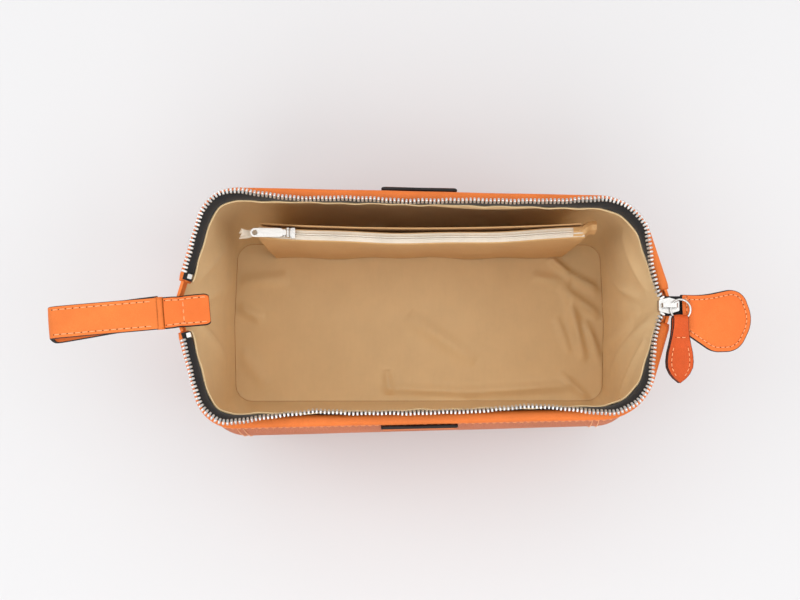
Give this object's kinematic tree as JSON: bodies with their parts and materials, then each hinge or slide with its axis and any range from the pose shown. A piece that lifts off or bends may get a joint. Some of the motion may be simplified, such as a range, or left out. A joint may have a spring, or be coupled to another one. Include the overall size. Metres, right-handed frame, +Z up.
{
  "type": "leather toiletry bag",
  "caption": "Leather toiletry bag with a hinged, zipped frame mouth, wrist strap, end tab and zipped inner pocket, standing open.",
  "frame": {"origin": "middle of the base's underside, below the middle of the hinge line", "axes": "+X along the bag towards the zip slider and end tab, +Y to the back wall with the inner pocket, +Z up out of the mouth"},
  "size_m": [0.4145, 0.1562, 0.1545],
  "materials": {
    "saddle_leather": "orange saddle leather, fine pebble grain",
    "wall_leather": "brown-orange leather, soft pebble grain",
    "pull_leather": "dark orange leather, satin",
    "lining_cloth": "tan woven lining",
    "board": "stiff board, inside",
    "black_tape": "black woven zip tape",
    "silver_teeth": "polished metal teeth",
    "slider_metal": "polished plated zinc",
    "spring_steel": "flat spring steel, inside the casing",
    "cream_tape": "cream woven zip tape",
    "cream_coil": "cream nylon coil"
  },
  "bodies": {
    "bag": {"base_panel": "wall_leather", "base_board": "board", "front_panel": "wall_leather", "back_panel": "wall_leather", "left_gusset": "wall_leather", "right_gusset": "wall_leather", "front_patch": "wall_leather", "back_patch": "wall_leather", "floor_lining": "lining_cloth", "front_lining": "lining_cloth", "back_lining": "lining_cloth", "left_lining": "lining_cloth", "right_lining": "lining_cloth", "pocket_back": "lining_cloth", "pocket_front": "lining_cloth", "pocket_tape_front": "cream_tape", "pocket_tape_back": "cream_tape", "pocket_coil_front": "cream_coil", "pocket_coil_back": "cream_coil"},
    "mouth_ends": {"zip_tail": "black_tape", "left_hem": "saddle_leather", "right_hem": "saddle_leather", "strap_tab": "saddle_leather"},
    "front_frame": {"front_casing": "saddle_leather", "front_frame_strip": "spring_steel", "front_zip_tape": "black_tape", "front_zip_teeth": "silver_teeth", "front_top_stop": "silver_teeth"},
    "back_frame": {"back_casing": "saddle_leather", "back_frame_strip": "spring_steel", "back_zip_tape": "black_tape", "back_zip_teeth": "silver_teeth", "back_top_stop": "silver_teeth"},
    "zip_slider": {"slider_body": "slider_metal", "slider_bridge": "slider_metal"},
    "zip_ring": {"pull_ring": "slider_metal"},
    "zip_pull": {"leather_pull": "pull_leather"},
    "end_tab": {"end_tab_upper": "saddle_leather", "end_tab_lower": "saddle_leather"},
    "wrist_loop": {"wrist_strap": "saddle_leather", "strap_backing": "saddle_leather"},
    "inner_slider": {"pocket_slider": "slider_metal"},
    "inner_puller": {"pocket_puller": "slider_metal"}
  },
  "joints": [
    {"name": "mouth_drop", "type": "slide", "parent": "bag", "child": "mouth_ends", "axis": [0, 0, -1], "range_m": [0, 0.065], "deforming": ["front_panel", "back_panel", "left_gusset", "right_gusset", "front_lining", "back_lining", "left_lining", "right_lining", "front_patch", "back_patch"]},
    {"name": "front_swing", "type": "hinge", "parent": "mouth_ends", "child": "front_frame", "pos_m": [0, 0, 0.145], "axis": [-1, 0, 0], "range_deg": [0, 82]},
    {"name": "back_swing", "type": "hinge", "parent": "mouth_ends", "child": "back_frame", "pos_m": [0, 0, 0.145], "axis": [1, 0, 0], "range_deg": [0, 82]},
    {"name": "zip_run", "type": "slide", "parent": "mouth_ends", "child": "zip_slider", "axis": [-1, 0, 0], "range_m": [0, 0.006]},
    {"name": "ring_flip", "type": "hinge", "parent": "zip_slider", "child": "zip_ring", "pos_m": [0.146, 0, 0.14885], "axis": [0.4067, 0.9135, 0], "range_deg": [-166, 0]},
    {"name": "pull_swing", "type": "hinge", "parent": "zip_ring", "child": "zip_pull", "pos_m": [0.15134, -0.00823, 0.14885], "axis": [1, 0, 0], "range_deg": [-90, 0]},
    {"name": "tab_bend", "type": "hinge", "parent": "mouth_ends", "child": "end_tab", "pos_m": [0.1526, 0, 0.1425], "axis": [0, -1, 0], "range_deg": [-80, 0]},
    {"name": "loop_bend", "type": "hinge", "parent": "mouth_ends", "child": "wrist_loop", "pos_m": [-0.1556, -0.0044, 0.145], "axis": [0.0958, -0.9954, 0], "range_deg": [-70, 80]},
    {"name": "pocket_run", "type": "slide", "parent": "bag", "child": "inner_slider", "axis": [1, 0, 0], "range_m": [0, 0.178]},
    {"name": "puller_swing", "type": "hinge", "parent": "inner_slider", "child": "inner_puller", "pos_m": [-0.084, 0.04915, 0.10948], "axis": [0, 1, 0], "range_deg": [0, 150]}
  ],
  "couplings": [
    {"joint": "back_swing", "follows": "front_swing", "ratio": 1},
    {"joint": "mouth_drop", "follows": "front_swing", "m_per_rad": 0.04541}
  ]
}
